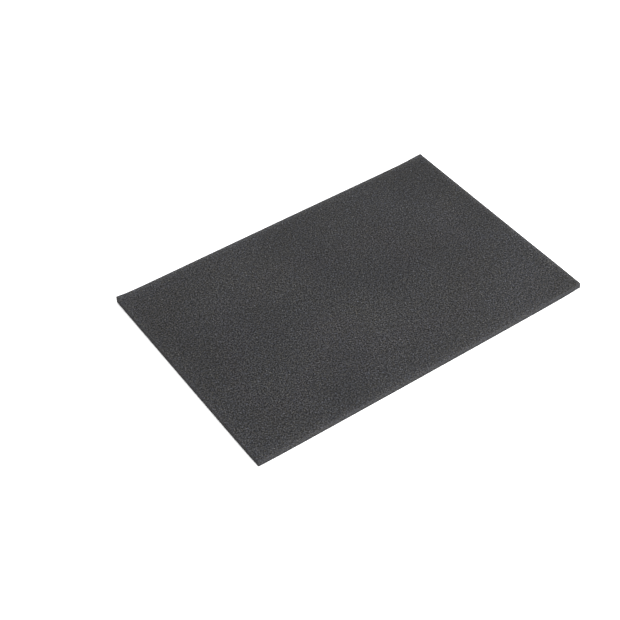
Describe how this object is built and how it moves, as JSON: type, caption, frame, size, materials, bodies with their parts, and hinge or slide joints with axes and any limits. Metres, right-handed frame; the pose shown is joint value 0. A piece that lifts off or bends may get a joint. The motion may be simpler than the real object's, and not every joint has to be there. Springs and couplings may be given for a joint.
{
  "type": "protector pad",
  "caption": "Flat rectangular pad of soft charcoal foam with square-cut sides, for padding a rider's back.",
  "frame": {"origin": "centre of the pad's underside, which is the face it lies on", "axes": "+X along the pad's length, +Y along its width, +Z out of the upper face"},
  "size_m": [0.3, 0.2, 0.005],
  "materials": {
    "foam": "matte"
  },
  "bodies": {
    "root": {"foam_pad": "foam"}
  },
  "joints": []
}
